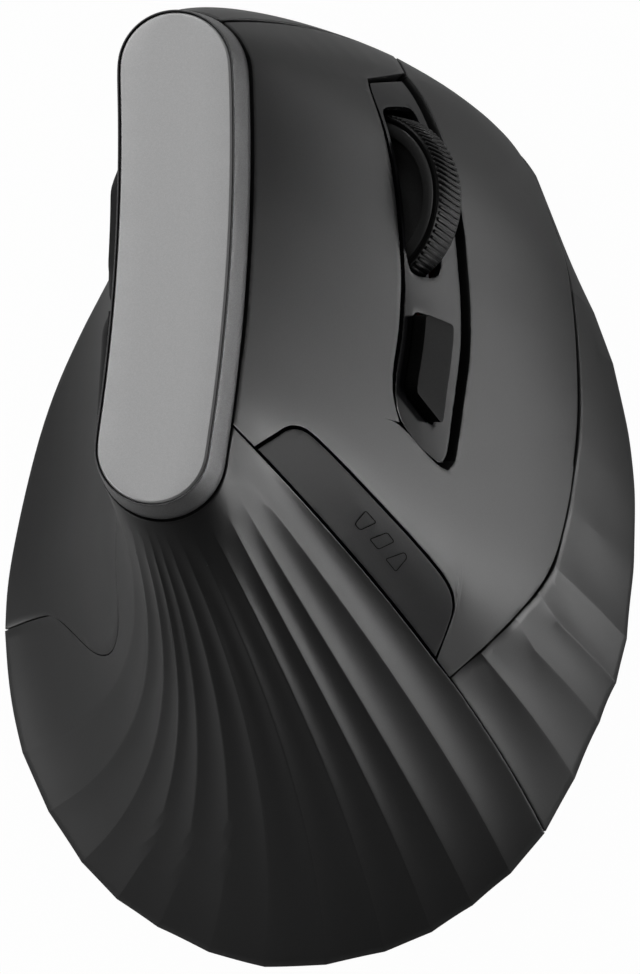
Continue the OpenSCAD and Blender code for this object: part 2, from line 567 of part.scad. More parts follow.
usb_u = [21.68, 22.4];
usb_v = [0.765, 0.87];
usb_mid = (usb_u[0] + usb_u[1]) / 2;
front_end = rib_count + front_seam;
front_us = [for (k = [1:2]) lerp(corner_seam, usb_u[0], k / 3), usb_u[0], usb_mid, usb_u[1],
    for (k = [1:2]) lerp(usb_u[1], front_end, k / 3)];
front_vs = [0.08, 0.16, 0.24, 0.32, 0.4, 0.48, 0.56, 0.63, 0.7, usb_v[0], usb_v[1], 0.94, 1];
module front_cover() color("#1f1f20") {
    vs = [gap_share([usb_mid, 0], [usb_mid, 1], rim_gap), each front_vs];
    cover([[for (v = vs) [corner_seam + gap_share([corner_seam, v], [corner_seam + 1, v], seam / 2), v]],
           for (u = front_us) [for (v = vs) [u, v]],
           [for (v = vs) [front_end - gap_share([front_end, v], [front_end - 1, v], seam / 2), v]]],
          wall, false, [[3, 5, 10, 11]]);
}

// Thumb buttons, pressed straight across the plate
plate_frame = placed([rim_x, rim_y, rim_z([rim_x, rim_y])], [0, 1, 0], plate_up);
function side_rows(open, gap_rear, gap_front) =
    let (us = [for (k = [0:8]) lerp(open[0], open[1], k / 8)])
    rows_between([for (u = us) [u, open_top]], [for (u = us) [u, open_low]], [0, 0.15, 0.5, 0.85, 1],
                 key_gap, key_gap, gap_rear, gap_front);
function side_press(open) = local(plate_frame, skin([(open[0] + open[1]) / 2, (open_top + open_low) / 2]));
side_board_x = -0.6;
side_tip = -3.6;
module side_button(open, rise, gap_rear, gap_front) {
    press = side_press(open);
    key(side_rows(open, gap_rear, gap_front), rise - 1, rise, 1.5, 1);
    multmatrix(plate_frame) translate([side_tip - 1, press[1], press[2]]) rotate([0, -90, 0])
        cylinder(d = 3, h = side_tip - 1 - press[0] - 0.5);
}
module forward_button() color("#29292a") side_button(forward_open, forward_rise, key_gap / 3, key_gap);
module back_button() color("#29292a") side_button(back_open, back_rise, key_gap, key_gap / 3);
module side_switch(open) {
    press = side_press(open);
    multmatrix(plate_frame) translate([side_board_x, press[1], press[2]]) rotate([0, -90, 0])
        press_switch(4.2, side_board_x - side_tip);
}
module forward_switch() color("#b9b9b9") side_switch(forward_open);
module back_switch() color("#b9b9b9") side_switch(back_open);
side_mid = (side_press(forward_open) + side_press(back_open)) / 2;
module side_board() color("#1f4d33") multmatrix(plate_frame)
    translate([side_board_x, side_mid[1] - 17, side_mid[2] - 4]) cube([1.2, 34, 8]);
module side_bracket() color("#5a5b5d") multmatrix(plate_frame)
    translate([side_board_x + 1.2, side_mid[1] - 17, side_mid[2] - 4])
        cube([1.6, 34, bezel_height - 3 - side_mid[2] + 4]);

// Base plate inside the covers' foot
base_fit = 0.3;
function base_point(u) =
    let (n = out_flat([u, 1]), lean = (skin([u, 1]) - skin([u, 0.95])) * n,
         p = skin([u, 1]) - (wall + base_fit + max(0, lean)) * n)
    [p[0], p[1]];
sensor = [-9, 6];
main_z = 6.5;

// Battery at the rear of the base, and the main board between it and the charging port
battery_size = [34, 16, 7];
battery_y = 26 - body_length / 2;
battery_gap = 1;
main_left = -20;
main_right = 5;
main_rear = battery_y + battery_size[1] / 2 + battery_gap;
main_front = body_length / 2 - 29;
main_thick = 1.4;
tongue_width = 12;
tongue_rear = main_front - 10;
board_posts = [[main_left + 2, main_rear + 3], [main_right - 3, main_rear + 3],
    [main_left + 3, main_front - 3], [main_right - 3, tongue_rear]];
power = [-12, main_rear + 10];
power_slot = [3, 7];
power_body = [4, 9];
screws = [for (p = carrier_posts) [p[0], p[1]], [device_foot[0], device_foot[1]]];
module base_plate() color("#242425") difference() {
    union() {
        translate([0, 0, foot_height]) linear_extrude(base_thick)
            polygon([for (u = [0:0.5:rib_count - 0.5]) base_point(u)]);
        for (p = board_posts) translate([p[0], p[1], base_top - 0.2])
            cylinder(d = 4.4, h = main_z - base_top + 0.2);
    }
    translate([sensor[0], sensor[1], 0]) cylinder(d = 7, h = 10);
    translate([power[0], power[1], 0]) block(power_slot[0], power_slot[1], 10);
    for (p = screws) translate([p[0], p[1], 0]) {
        cylinder(d = screw_diameter + 0.2, h = 10);
        cylinder(d = 4.2, h = foot_height + 0.9);
    }
}

module base_screws() color("#8d8f92") for (p = screws) translate([p[0], p[1], foot_height + 0.1]) {
    cylinder(d = 3.8, h = 0.8);
    cylinder(d = screw_diameter, h = 6.4);
}

module foot_pad(x, y, width, length, turn) translate([x, y, 0]) rotate([0, 0, turn])
    tablet(width, length, foot_height, width / 2 - 0.2);
module feet() color("#d9d9d6") {
    foot_pad(-2, body_length / 2 - 15.5, 5, 20, 84);
    foot_pad(-2, 11 - body_length / 2, 5, 30, 90);
    foot_pad(body_width / 2 - 10.5, -8, 5, 24, 4);
    foot_pad(10.5 - body_width / 2, -8, 5, 20, 10);
}

// Optics, main board and what it carries
module sensor_lens() color("#cfd6da") translate([sensor[0], sensor[1], base_top]) {
    block(12, 14, 1.6);
    translate([0, 0, -1]) cylinder(d = 6, h = 1.2);
}
module sensor_chip() color("#17181a") translate([sensor[0], sensor[1], base_top + 1.7])
    block(9, 11, main_z - base_top - 1.7);
usb_sides = [for (u = usb_u) skin([u, (usb_v[0] + usb_v[1]) / 2])];
usb_x = (usb_sides[0][0] + usb_sides[1][0]) / 2;
usb_y = min(usb_sides[0][1], usb_sides[1][1]);
module main_board() color("#1f4d33") translate([0, 0, main_z]) linear_extrude(main_thick) difference() {
    union() {
        translate([main_left, main_rear]) square([main_right - main_left, main_front - main_rear]);
        translate([usb_x - tongue_width / 2, tongue_rear]) square([tongue_width, usb_y - 6.5 - tongue_rear]);
    }
    for (p = screws) translate([p[0], p[1]]) circle(d = post_diameter + 1.4);
}
module battery() color("#b4b6b8") translate([-4, battery_y, base_top])
    tablet(battery_size[0], battery_size[1], battery_size[2], 2);
module usb_port() color("#b9bbbe") translate([usb_x, usb_y - 1, main_z + main_thick + 1.65]) rotate([90, 0, 0])
    difference() {
    tablet(9, 3.2, 7.4, 1.5);
    translate([0, 0, -1]) tablet(8.4, 2.6, 7.4, 1.25);
}

// Power slider through the base and the switch it works
module power_slider() color("#6d6f72") translate([power[0], power[1] - 1.5, 0]) {
    translate([0, 0, base_top + 0.1]) block(5, 9, 0.7);
    translate([0, 0, foot_height + 0.3]) block(power_slot[0] - 0.4, power_slot[1] - 3.4, base_thick);
    translate([0, 0, base_top + 0.5]) block(1, 1.4, 1.7);
}
module power_switch() color("#b9b9b9") translate([power[0], power[1], base_top + 1]) difference() {
    block(power_body[0], power_body[1], main_z - base_top - 1);
    translate([0, 0, -1]) block(power_body[0] - 2.4, power_body[1] - 3.6, 2.6);
}

top_plate();
top_bezel();
left_button();
right_button();
button_bridge();
device_key();
wheel_insert();
wheel_tyre();
wheel_hub();
wheel_yoke();
wheel_encoder();
wheel_switch();
speed_key();
speed_switch();
left_switch();
right_switch();
key_board();
key_carrier();
device_board();
device_switch();
device_post();
palm_cover();
side_panel();
thumb_panel();
front_cover();
forward_button();
back_button();
side_board();
forward_switch();
back_switch();
side_bracket();
base_plate();
feet();
base_screws();
sensor_lens();
sensor_chip();
main_board();
battery();
usb_port();
power_slider();
power_switch();
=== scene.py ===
import bpy
import bmesh
import json
import math
from mathutils import Matrix, Vector
from mathutils.bvhtree import BVHTree
from mathutils.kdtree import KDTree


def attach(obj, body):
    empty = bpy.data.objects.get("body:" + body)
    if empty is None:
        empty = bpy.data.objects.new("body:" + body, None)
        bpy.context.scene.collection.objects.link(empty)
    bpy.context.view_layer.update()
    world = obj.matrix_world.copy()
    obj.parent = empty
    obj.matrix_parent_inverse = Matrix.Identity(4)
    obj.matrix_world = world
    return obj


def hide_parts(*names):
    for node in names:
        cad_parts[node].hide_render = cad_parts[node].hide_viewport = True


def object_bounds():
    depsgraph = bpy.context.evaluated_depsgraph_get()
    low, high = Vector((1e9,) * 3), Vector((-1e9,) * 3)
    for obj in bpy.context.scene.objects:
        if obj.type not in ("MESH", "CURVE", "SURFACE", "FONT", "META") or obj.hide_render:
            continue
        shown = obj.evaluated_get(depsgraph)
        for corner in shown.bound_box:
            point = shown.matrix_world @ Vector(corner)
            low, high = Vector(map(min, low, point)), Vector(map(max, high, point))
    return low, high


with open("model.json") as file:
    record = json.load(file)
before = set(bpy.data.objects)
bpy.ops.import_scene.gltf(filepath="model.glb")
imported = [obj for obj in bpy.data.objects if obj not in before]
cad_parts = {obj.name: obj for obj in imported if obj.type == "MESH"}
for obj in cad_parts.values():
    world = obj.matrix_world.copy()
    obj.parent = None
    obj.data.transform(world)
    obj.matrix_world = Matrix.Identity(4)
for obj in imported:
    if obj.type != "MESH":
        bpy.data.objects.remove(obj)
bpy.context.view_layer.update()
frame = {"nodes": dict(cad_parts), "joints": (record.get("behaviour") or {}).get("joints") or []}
cadNodes = frame["nodes"]
joints = {j["name"]: j for j in frame["joints"]}
scene = bpy.context.scene
scene.view_settings.view_transform = "Standard"
print("frame:", len(cadNodes), "solids loaded")


# finishes, all made from noise or flakes on the piece's own coordinates
def startFinish(name):
    mat = bpy.data.materials.new(name)
    mat.use_nodes = True
    tree = mat.node_tree
    shader = tree.nodes["Principled BSDF"]
    coords = tree.nodes.new("ShaderNodeTexCoord")
    return mat, tree, shader, coords


def addNoise(tree, coords, scale, detail=2.0, rough=0.5):
    noise = tree.nodes.new("ShaderNodeTexNoise")
    noise.inputs["Scale"].default_value = scale
    noise.inputs["Detail"].default_value = detail
    noise.inputs["Roughness"].default_value = rough
    tree.links.new(coords.outputs["Object"], noise.inputs["Vector"])
    return noise


def addRange(tree, source, low, high, fromLow=0.3, fromHigh=0.7):
    spread = tree.nodes.new("ShaderNodeMapRange")
    spread.inputs["From Min"].default_value = fromLow
    spread.inputs["From Max"].default_value = fromHigh
    spread.inputs["To Min"].default_value = low
    spread.inputs["To Max"].default_value = high
    tree.links.new(source, spread.inputs["Value"])
    return spread


def addRamp(tree, source, dark, light, low=0.3, high=0.7):
    ramp = tree.nodes.new("ShaderNodeValToRGB")
    ramp.color_ramp.elements[0].position = low
    ramp.color_ramp.elements[0].color = (*dark, 1)
    ramp.color_ramp.elements[1].position = high
    ramp.color_ramp.elements[1].color = (*light, 1)
    tree.links.new(source, ramp.inputs["Fac"])
    return ramp


def addBump(tree, shader, source, strength, distance):
    bump = tree.nodes.new("ShaderNodeBump")
    bump.inputs["Strength"].default_value = strength
    bump.inputs["Distance"].default_value = distance
    tree.links.new(source, bump.inputs["Height"])
    tree.links.new(bump.outputs["Normal"], shader.inputs["Normal"])


plasticBase = {"grainDetail": 3.0, "grainRough": 0.6, "cloud": 45, "specular": 0.4, "coat": 0,
               "coatRough": 0.05, "metal": 0, "bump": 0.1, "depth": 0.00002}  # where a look says nothing else


def mouldedPlastic(name, look):
    look = {**plasticBase, **look}
    mat, tree, shader, coords = startFinish(name)
    grain = addNoise(tree, coords, look["grain"], look["grainDetail"], look["grainRough"])
    cloud = addNoise(tree, coords, look["cloud"])
    tint = addRamp(tree, grain.outputs["Fac"], look["dark"], look["light"])
    tree.links.new(tint.outputs["Color"], shader.inputs["Base Color"])
    sheen = addRange(tree, cloud.outputs["Fac"], *look["rough"])
    tree.links.new(sheen.outputs["Result"], shader.inputs["Roughness"])
    shader.inputs["Specular IOR Level"].default_value = look["specular"]
    if look["coat"]:
        shader.inputs["Coat Weight"].default_value = look["coat"]
        shader.inputs["Coat Roughness"].default_value = look["coatRough"]
    shader.inputs["Metallic"].default_value = look["metal"]
    addBump(tree, shader, grain.outputs["Fac"], look["bump"], look["depth"])
    return mat


def flakePaint(name, look):
    mat, tree, shader, coords = startFinish(name)
    flakes = tree.nodes.new("ShaderNodeTexVoronoi")  # each cell is one metal flake
    flakes.inputs["Scale"].default_value = look["flakes"]
    tree.links.new(coords.outputs["Object"], flakes.inputs["Vector"])
    split = tree.nodes.new("ShaderNodeSeparateColor")
    tree.links.new(flakes.outputs["Color"], split.inputs["Color"])
    tint = addRamp(tree, split.outputs["Red"], look["dark"], look["light"], *look["spread"])
    tree.links.new(tint.outputs["Color"], shader.inputs["Base Color"])
    rough = addRange(tree, split.outputs["Green"], *look["rough"], 0.0, 1.0)
    tree.links.new(rough.outputs["Result"], shader.inputs["Roughness"])
    shader.inputs["Metallic"].default_value = look["metal"]
    addBump(tree, shader, split.outputs["Blue"], look["bump"], look["depth"])
    return mat


plastics = {
    "shellBlack": {
        "grain": 5200, "dark": (0.0025, 0.0025, 0.0026), "light": (0.006, 0.006, 0.0062),
        "rough": (0.36, 0.42), "specular": 0.35, "bump": 0.12, "depth": 0.000015},
    "keyBlack": {
        "grain": 6200, "dark": (0.003, 0.003, 0.0032), "light": (0.006, 0.006, 0.0063),
        "rough": (0.42, 0.47), "specular": 0.12, "bump": 0.15, "depth": 0.00002},
    "speedKeyBlack": {
        "grain": 4000, "dark": (0.003, 0.003, 0.003), "light": (0.006, 0.006, 0.006),
        "rough": (0.36, 0.42), "specular": 0.04, "bump": 0.06, "depth": 0.00001},
    "insertGloss": {
        "grain": 900, "dark": (0.0035, 0.0035, 0.004), "light": (0.0055, 0.0055, 0.006),
        "rough": (0.14, 0.19), "specular": 0.12, "coat": 0.06, "coatRough": 0.05,
        "bump": 0.02, "depth": 0.00001},
    "tyreRubber": {
        "grain": 7000, "dark": (0.003, 0.003, 0.003), "light": (0.007, 0.007, 0.007),
        "rough": (0.24, 0.30), "specular": 0.09, "bump": 0.2, "depth": 0.00002},
    "hubGloss": {
        "grain": 2500, "dark": (0.028, 0.028, 0.028), "light": (0.036, 0.036, 0.036),
        "rough": (0.26, 0.32), "specular": 0.5, "coat": 0.3, "bump": 0.03, "depth": 0.00001},
    "iconPrint": {
        "grain": 5000, "dark": (0.001, 0.001, 0.001), "light": (0.002, 0.002, 0.002),
        "rough": (0.8, 0.9), "specular": 0.02, "bump": 0.05},
    "baseBlack": {
        "grain": 2600, "dark": (0.010, 0.010, 0.011), "light": (0.020, 0.020, 0.021),
        "rough": (0.52, 0.62), "specular": 0.35, "bump": 0.35, "depth": 0.00004},
    "footWhite": {
        "grain": 1500, "dark": (0.60, 0.60, 0.58), "light": (0.70, 0.70, 0.68),
        "rough": (0.34, 0.42), "bump": 0.05},
    "frameGrey": {
        "grain": 1800, "dark": (0.075, 0.075, 0.08), "light": (0.11, 0.11, 0.115),
        "rough": (0.45, 0.55), "bump": 0.1},
    "boardGreen": {
        "grain": 700, "dark": (0.010, 0.060, 0.026), "light": (0.018, 0.088, 0.040),
        "rough": (0.30, 0.40), "bump": 0.05},
    "switchRed": {
        "grain": 1600, "dark": (0.23, 0.022, 0.018), "light": (0.30, 0.034, 0.028),
        "rough": (0.36, 0.46), "bump": 0.08},
    "switchGrey": {
        "grain": 1600, "dark": (0.42, 0.42, 0.42), "light": (0.52, 0.52, 0.52),
        "rough": (0.36, 0.46), "bump": 0.08},
    "encoderGreen": {
        "grain": 1600, "dark": (0.022, 0.12, 0.065), "light": (0.035, 0.17, 0.09),
        "rough": (0.4, 0.5), "bump": 0.08},
    "lensClear": {
        "grain": 600, "dark": (0.58, 0.63, 0.66), "light": (0.66, 0.71, 0.74),
        "rough": (0.06, 0.12), "bump": 0.01},
    "chipBlack": {
        "grain": 3000, "dark": (0.007, 0.007, 0.008), "light": (0.012, 0.012, 0.013),
        "rough": (0.5, 0.6), "bump": 0.15},
    "batteryFoil": {
        "grain": 260, "dark": (0.40, 0.41, 0.42), "light": (0.52, 0.53, 0.54),
        "rough": (0.26, 0.40), "metal": 0.9, "bump": 0.2},
    "plainSteel": {
        "grain": 3200, "dark": (0.42, 0.42, 0.43), "light": (0.56, 0.56, 0.57),
        "rough": (0.24, 0.36), "metal": 1.0, "bump": 0.05},
    "sliderGrey": {
        "grain": 1800, "dark": (0.12, 0.13, 0.14), "light": (0.17, 0.18, 0.19),
        "rough": (0.42, 0.5), "bump": 0.1},
}
paints = {
    "plateGrey": {
        "flakes": 15000, "dark": (0.41, 0.41, 0.412), "light": (0.47, 0.47, 0.472),
        "spread": (0.2, 1.0), "rough": (0.42, 0.55), "metal": 0.25, "bump": 0.05, "depth": 0.000008},
    "bezelGrey": {
        "flakes": 13000, "dark": (0.05, 0.05, 0.051), "light": (0.11, 0.11, 0.112),
        "spread": (0.2, 1.0), "rough": (0.32, 0.40), "metal": 0.7, "bump": 0.06, "depth": 0.000006},
}
finishes = {name: mouldedPlastic(name, look) for name, look in plastics.items()}
finishes.update({name: flakePaint(name, look) for name, look in paints.items()})
lens = {"clear": 0.85, "ior": 1.49}
lensShader = finishes["lensClear"].node_tree.nodes["Principled BSDF"]
lensShader.inputs["Transmission Weight"].default_value = lens["clear"]
lensShader.inputs["IOR"].default_value = lens["ior"]
print("finishes:", len(finishes))


# pieces made from the solids
merging = {"dist": 0.000002, "faceAngle": 0.6, "shapeAngle": 1.2}  # the solids come as loose triangles
creaseDegrees = {"shells": 32, "keys": 40, "trims": 35, "base": 35, "hub": 50}
uprightShare = 0.8
smoothLevels = 2
fineSegments = 3


def mergedCopy(node):
    bm = bmesh.new()
    bm.from_mesh(cadNodes[node].data)
    bmesh.ops.remove_doubles(bm, verts=bm.verts[:], dist=merging["dist"])
    bmesh.ops.join_triangles(bm, faces=bm.faces[:], angle_face_threshold=merging["faceAngle"],
                             angle_shape_threshold=merging["shapeAngle"])
    return bm


def edgeLayer(bm, name):
    return bm.edges.layers.float.get(name) or bm.edges.layers.float.new(name)


def markEdges(bm, degrees, arris=None, joined=(), softWay=None):
    crease, weight = edgeLayer(bm, "crease_edge"), edgeLayer(bm, "bevel_weight_edge")
    limit = math.radians(degrees)
    for e in bm.edges:
        if len(e.link_faces) != 2:
            continue
        run = (e.verts[1].co - e.verts[0].co).normalized()
        if softWay and abs(run.dot(softWay)) > uprightShare:  # plan corners stay round
            continue
        if e.calc_face_angle() > limit:
            e[crease] = 1
            if e.verts[0] in joined and e.verts[1] in joined:  # runs on into the next moulding
                e.smooth = False
            else:
                e[weight] = 1
        elif arris and e.calc_face_angle_signed() > math.radians(arris["degrees"]):  # outward folds only
            e[crease] = 1
            e[weight] = arris["weight"]


def makePiece(bm, name, finish, body, replaced=(), levels=0, edge=0, segments=2):
    for f in bm.faces:
        f.smooth = True
    mesh = bpy.data.meshes.new(name)
    bm.to_mesh(mesh)
    bm.free()
    piece = bpy.data.objects.new(name, mesh)
    scene.collection.objects.link(piece)
    mesh.materials.append(finishes[finish])
    if levels:
        smooth = piece.modifiers.new("smooth", "SUBSURF")
        smooth.levels = levels
        smooth.render_levels = levels
    if edge:
        rounding = piece.modifiers.new("rounding", "BEVEL")
        rounding.limit_method = "WEIGHT"
        rounding.width = edge
        rounding.segments = segments
        rounding.harden_normals = True
    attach(piece, body)
    if replaced:
        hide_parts(*replaced)


# the two buttons bend out of the bridge, so their rear ends are drawn onto its front edge
moulding = {"reach": 0.0005, "pitch": 0.0008, "closed": 0.75}
bridgeBm = mergedCopy("button_bridge")
bridgeTree = BVHTree.FromBMesh(bridgeBm)
bridgePoints = KDTree(len(bridgeBm.verts))
for v in bridgeBm.verts:
    bridgePoints.insert(v.co, v.index)
bridgePoints.balance()
bridgeBm.verts.ensure_lookup_table()
bridgeJoin = set()


def joinBridge(bm):
    joined = set()
    for v in bm.verts:
        if bridgeTree.find_nearest(v.co, moulding["reach"])[0] is None:
            continue
        spot, index, distance = bridgePoints.find(v.co)
        if distance < moulding["pitch"]:
            v.co = spot
            joined.add(v)
            bridgeJoin.add(bridgeBm.verts[index])
    return joined


def closeSeam(bm, neighbours):  # rims lean towards the next panel, so no floor shows through the seam
    for n in neighbours:
        near = mergedCopy(n)
        nearTree = BVHTree.FromBMesh(near)
        near.free()
        for v in bm.verts:
            place = nearTree.find_nearest(v.co, moulding["reach"])[0]
            if place is not None:
                v.co = v.co.lerp(place, moulding["closed"])


flutes = {"degrees": 7, "weight": 0.45}
shells = {
    "leftButtonShell": {"node": "left_button", "body": "left_button", "edge": 0.00016},
    "rightButtonShell": {"node": "right_button", "body": "right_button", "edge": 0.00016},
    "bridgeShell": {"node": "button_bridge", "body": "housing", "edge": 0.00013, "degrees": 50},
    "palmShell": {"node": "palm_cover", "body": "housing", "edge": 0.00013, "arris": flutes,
                  "seams": ["thumb_panel", "side_panel"]},
    "skirtShell": {"node": "side_panel", "body": "housing", "edge": 0.00013, "arris": flutes},
    "thumbShell": {"node": "thumb_panel", "body": "housing", "edge": 0.00013},
    "frontShell": {"node": "front_cover", "body": "housing", "edge": 0.00013},
}
for name, shell in shells.items():
    joined = ()
    if shell["node"] == "button_bridge":
        bm = bridgeBm
        joined = bridgeJoin
    else:
        bm = mergedCopy(shell["node"])
        if shell["body"] != "housing":
            joined = joinBridge(bm)
    closeSeam(bm, shell.get("seams", ()))
    markEdges(bm, shell.get("degrees", creaseDegrees["shells"]), shell.get("arris"), joined)
    makePiece(bm, name, "shellBlack", shell["body"], [shell["node"]], smoothLevels,
              shell["edge"])
print("shells:", len(shells))

# base plate, drawn out to the covers' inner wall
baseFit = {"reach": 0.0007, "step": 0.00001, "edge": 0.0001}
bm = mergedCopy("base_plate")
baseTree = BVHTree.FromBMesh(bm)
for v in bm.verts:
    way = Vector((v.co.x, v.co.y, 0)).normalized()
    start = v.co + way * baseFit["step"]
    if baseTree.ray_cast(start, way)[0] is None:  # nothing of the plate lies further out
        v.co += way * baseFit["reach"]
markEdges(bm, creaseDegrees["base"])
makePiece(bm, "basePlate", "baseBlack", "housing", ["base_plate"], 0, baseFit["edge"])
print("base plate: drawn out by", baseFit["reach"])

faceWay = -Vector(joints["speed_key_press"]["axis"])  # square to the button face
keys = {
    "deviceKeyCap": {"node": "device_key", "edge": 0.0002, "finish": "keyBlack", "slot": "key_black"},
    "forwardKeyCap": {"node": "forward_button", "edge": 0.0003, "finish": "keyBlack", "slot": "key_black"},
    "backKeyCap": {"node": "back_button", "edge": 0.0003, "finish": "keyBlack", "slot": "key_black"},
    "speedKeyCap": {"node": "speed_key", "edge": 0.00012, "finish": "speedKeyBlack",
                    "slot": "speed_key_black", "soft": faceWay},
}
for name, key in keys.items():
    bm = mergedCopy(key["node"])
    markEdges(bm, creaseDegrees["keys"], softWay=key.get("soft"))
    makePiece(bm, name, key["finish"], key["node"], [key["node"]], smoothLevels, key["edge"],
              fineSegments)
print("keys:", len(keys))

trims = {
    "topPlate": {"node": "top_plate", "edge": 0.00012, "finish": "plateGrey", "slot": "plate_grey"},
    "topBezel": {"node": "top_bezel", "edge": 0.00015, "finish": "bezelGrey", "slot": "bezel_grey"},
    "wheelTray": {"node": "wheel_insert", "edge": 0.00005, "finish": "insertGloss", "slot": "insert_black",
                  "soft": faceWay},
}
for name, trim in trims.items():
    bm = mergedCopy(trim["node"])
    markEdges(bm, creaseDegrees["trims"], softWay=trim.get("soft"))
    makePiece(bm, name, trim["finish"], "housing", [trim["node"]], smoothLevels, trim["edge"],
              fineSegments)
print("trims:", len(trims))

# wheel, made round its axle and then set in place
wheel = {"radius": 0.0108, "width": 0.0052, "groove": 0.0003, "shoulder": 0.0004, "steps": 96,
         "rim": 0.0098, "rimWall": 0.0016, "web": 0.0012, "axle": 0.0015, "axleHalf": 0.0054,
         "boss": 0.0025, "bossHalf": 0.0034, "chamfer": 0.0002, "fillet": 0.0003, "webFillet": 0.0004,
         "weld": 0.000001}
tyre = {"lip": 0.0004, "seat": 0.00002, "soft": 0.00005, "fall": 0.0001, "turn": 0.00008, "crown": 0.00002}
ribs = {"count": 86, "slant": -14, "thick": 0.00042, "high": 0.0008, "crest": 0.00012, "sunk": 0.00045}
rimEdge = {"outIn": 0.00006, "outDrop": 0.00004, "outSide": 0.00018,
           "inSide": 0.00025, "in": 0.00008, "taper": 0.0001}
axleWay = Vector(joints["wheel_spin"]["axis"])
upWay = -Vector(joints["wheel_click"]["axis"])
aheadWay = upWay.cross(axleWay)
wheelTurn = Matrix((axleWay, aheadWay, upWay)).transposed().to_4x4()
wheelPlace = Matrix.Translation(joints["wheel_spin"]["pos_m"]) @ wheelTurn


def turned(bm, profile, steps):
    ring = [bm.verts.new((x, 0, r)) for x, r in profile]
    edges = [bm.edges.new(pair) for pair in zip(ring, ring[1:])]
    bmesh.ops.spin(bm, geom=ring + edges, cent=(0, 0, 0), axis=(1, 0, 0), angle=2 * math.pi, steps=steps,
                   use_merge=True)
    bmesh.ops.remove_doubles(bm, verts=bm.verts[:], dist=wheel["weld"])
    bmesh.ops.recalc_face_normals(bm, faces=bm.faces[:])


def mirrored(profile):
    return profile + [(-x, r) for x, r in reversed(profile)]


half = wheel["width"] / 2
bed = wheel["radius"] - wheel["groove"]  # the tyre between its ribs
rim = wheel["rim"]
seat = (half - tyre["lip"], rim + tyre["seat"])
tyreSide = [seat, (half - tyre["soft"], rim + tyre["soft"]), (half, bed - tyre["fall"]),
            (half - tyre["turn"], bed), (half - wheel["shoulder"], bed + tyre["crown"])]
bm = bmesh.new()
turned(bm, mirrored(tyreSide) + [seat], wheel["steps"])
tyreBody = set(bm.verts)
ribLength = wheel["width"] - 2 * wheel["shoulder"]
rib = bmesh.ops.create_cube(bm, size=1)["verts"]
bmesh.ops.scale(bm, vec=(ribLength, ribs["thick"], ribs["high"]), verts=rib)
crests = [e for e in {e for v in rib for e in v.link_edges} if min(v.co.z for v in e.verts) > 0]
bmesh.ops.bevel(bm, geom=crests, offset=ribs["crest"], affect="EDGES", segments=2, profile=0.5, material=-1)
rib = [v for v in bm.verts if v not in tyreBody]
slant = Matrix.Rotation(math.radians(ribs["slant"]), 3, "Z")
bmesh.ops.rotate(bm, verts=rib, cent=(0, 0, 0), matrix=slant)
bmesh.ops.translate(bm, vec=(0, 0, wheel["radius"] - ribs["sunk"]), verts=rib)
ribEdges = list({e for v in rib for e in v.link_edges})
ribFaces = list({f for v in rib for f in v.link_faces})
ribSweep = 2 * math.pi * (1 - 1 / ribs["count"])
bmesh.ops.spin(bm, geom=rib + ribEdges + ribFaces, cent=(0, 0, 0), axis=(1, 0, 0), angle=ribSweep,
               steps=ribs["count"] - 1, use_duplicate=True)
bm.transform(wheelPlace)
makePiece(bm, "wheelTyre", "tyreRubber", "wheel", ["wheel_tyre"])

bm = bmesh.new()
inner = rim - wheel["rimWall"]
web, boss, axle = wheel["web"], wheel["boss"], wheel["axle"]
bossHalf, axleHalf = wheel["bossHalf"], wheel["axleHalf"]
chamfer, fillet = wheel["chamfer"], wheel["fillet"]
side = [(half - chamfer, rim), (half - rimEdge["outIn"], rim - rimEdge["outDrop"]),
        (half, rim - rimEdge["outSide"]), (half, inner + rimEdge["inSide"]),
        (half - rimEdge["in"], inner + rimEdge["in"]), (half - fillet, inner),
        (web + fillet, inner - rimEdge["taper"]), (web, inner - wheel["webFillet"]),
        (web, boss + fillet), (web + fillet, boss), (bossHalf - chamfer, boss), (bossHalf, boss - chamfer),
        (bossHalf, axle), (axleHalf - chamfer, axle), (axleHalf, axle - chamfer), (axleHalf, 0)]
turned(bm, [(-x, r) for x, r in reversed(side)] + side, wheel["steps"])
for e in bm.edges:
    if len(e.link_faces) == 2 and e.calc_face_angle() > math.radians(creaseDegrees["hub"]):
        e.smooth = False
bm.transform(wheelPlace)
makePiece(bm, "wheelHub", "hubGloss", "wheel", ["wheel_hub"])
print("wheel:", ribs["count"], "ribs")

# icons on the device key, laid onto its skin from above
icons = {"line": 0.0001, "lift": 0.00002, "corner": 0.0003, "start": 0.01, "marks": [
    [(0.00551, -0.00183), (0.00689, -0.00336), (0.00484, -0.00432), (0.00411, -0.00352)],
    [(0.00593, -0.00534), (0.00817, -0.00449), (0.00907, -0.0057), (0.00701, -0.00667)],
    [(0.00786, -0.00776), (0.01028, -0.00691), (0.01064, -0.00764), (0.00919, -0.0094)],
]}
keyBm = mergedCopy("device_key")
keyTree = BVHTree.FromBMesh(keyBm)
keyBm.free()
bm = bmesh.new()
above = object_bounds()[1][2] + icons["start"]
for mark in icons["marks"]:
    ends = [bm.verts.new((x, y, above)) for x, y in mark]
    bm.faces.new(ends)
    bmesh.ops.bevel(bm, geom=ends, offset=icons["corner"], affect="VERTICES", segments=3, profile=0.5,
                    material=-1)
    face = [f for f in bm.faces if len(f.verts) > 4]  # the rounded outline, not a strip
    bmesh.ops.inset_individual(bm, faces=face, thickness=icons["line"])
    bmesh.ops.delete(bm, geom=face, context="FACES_ONLY")
bmesh.ops.subdivide_edges(bm, edges=bm.edges[:], cuts=1, use_grid_fill=True)
bmesh.ops.recalc_face_normals(bm, faces=bm.faces[:])
for v in bm.verts:
    place, normal = keyTree.ray_cast(v.co, Vector((0, 0, -1)))[:2]
    v.co = place + normal * icons["lift"]
makePiece(bm, "deviceIcons", "iconPrint", "device_key")
print("icons:", len(icons["marks"]))

